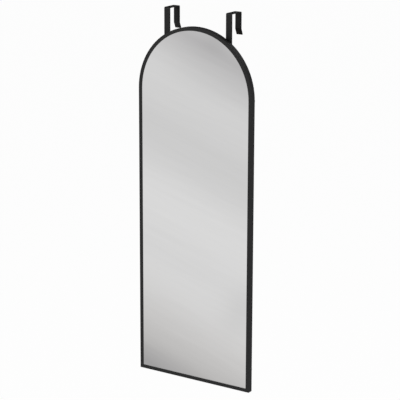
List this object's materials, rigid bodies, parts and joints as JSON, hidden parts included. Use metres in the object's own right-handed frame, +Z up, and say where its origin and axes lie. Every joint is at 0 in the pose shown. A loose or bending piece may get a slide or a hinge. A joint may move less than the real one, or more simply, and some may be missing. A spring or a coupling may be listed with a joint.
{
  "type": "over the door mirror",
  "caption": "Tall arched mirror in a thin black metal frame, hung over a door's top edge on flat strap hooks that slide on clamp screws to set its height.",
  "frame": {"origin": "on the door's top edge, midway between the two hooks, in the plane of the door's face that the mirror hangs on", "axes": "+Z up, the glass faces -Y away from the door, +X to the right as seen by someone looking into the mirror"},
  "size_m": [0.35, 0.0689, 1],
  "materials": {
    "frame_coat": "satin black powder coat on extruded aluminium",
    "hook_coat": "satin black powder coat on steel strap",
    "zinc_steel": "bright zinc plate",
    "spring_steel": "blued spring steel",
    "nut_steel": "zinc plate",
    "black_screw": "black oxide",
    "mirror_glass": "silvered float glass",
    "film": "clear safety film",
    "foam": "closed cell foam sheet",
    "hardboard": "smooth brown hardboard",
    "bumper_rubber": "matt black rubber",
    "pad_foam": "black closed cell foam pad"
  },
  "bodies": {
    "mirror": {"arch_frame": "frame_coat", "bottom_rail": "frame_coat", "corner_key_left": "zinc_steel", "corner_key_right": "zinc_steel", "corner_screws": "black_screw", "mirror_glass": "mirror_glass", "safety_film": "film", "foam_sheet": "foam", "backing_board": "hardboard", "spring_clips": "spring_steel", "hook_plate_left": "zinc_steel", "hook_plate_right": "zinc_steel", "plate_screws": "black_screw", "clinch_nuts": "nut_steel", "clamp_screws": "black_screw", "rear_bumpers": "bumper_rubber"},
    "left_hook": {"door_hook_left": "hook_coat", "top_pad_left": "pad_foam", "front_pad_left": "pad_foam", "rear_pad_left": "pad_foam"},
    "right_hook": {"door_hook_right": "hook_coat", "top_pad_right": "pad_foam", "front_pad_right": "pad_foam", "rear_pad_right": "pad_foam"}
  },
  "joints": [
    {"name": "left_hook_slide", "type": "slide", "parent": "mirror", "child": "left_hook", "axis": [0, 0, 1], "range_m": [-0.02, 0.02]},
    {"name": "right_hook_slide", "type": "slide", "parent": "mirror", "child": "right_hook", "axis": [0, 0, 1], "range_m": [-0.02, 0.02]}
  ]
}
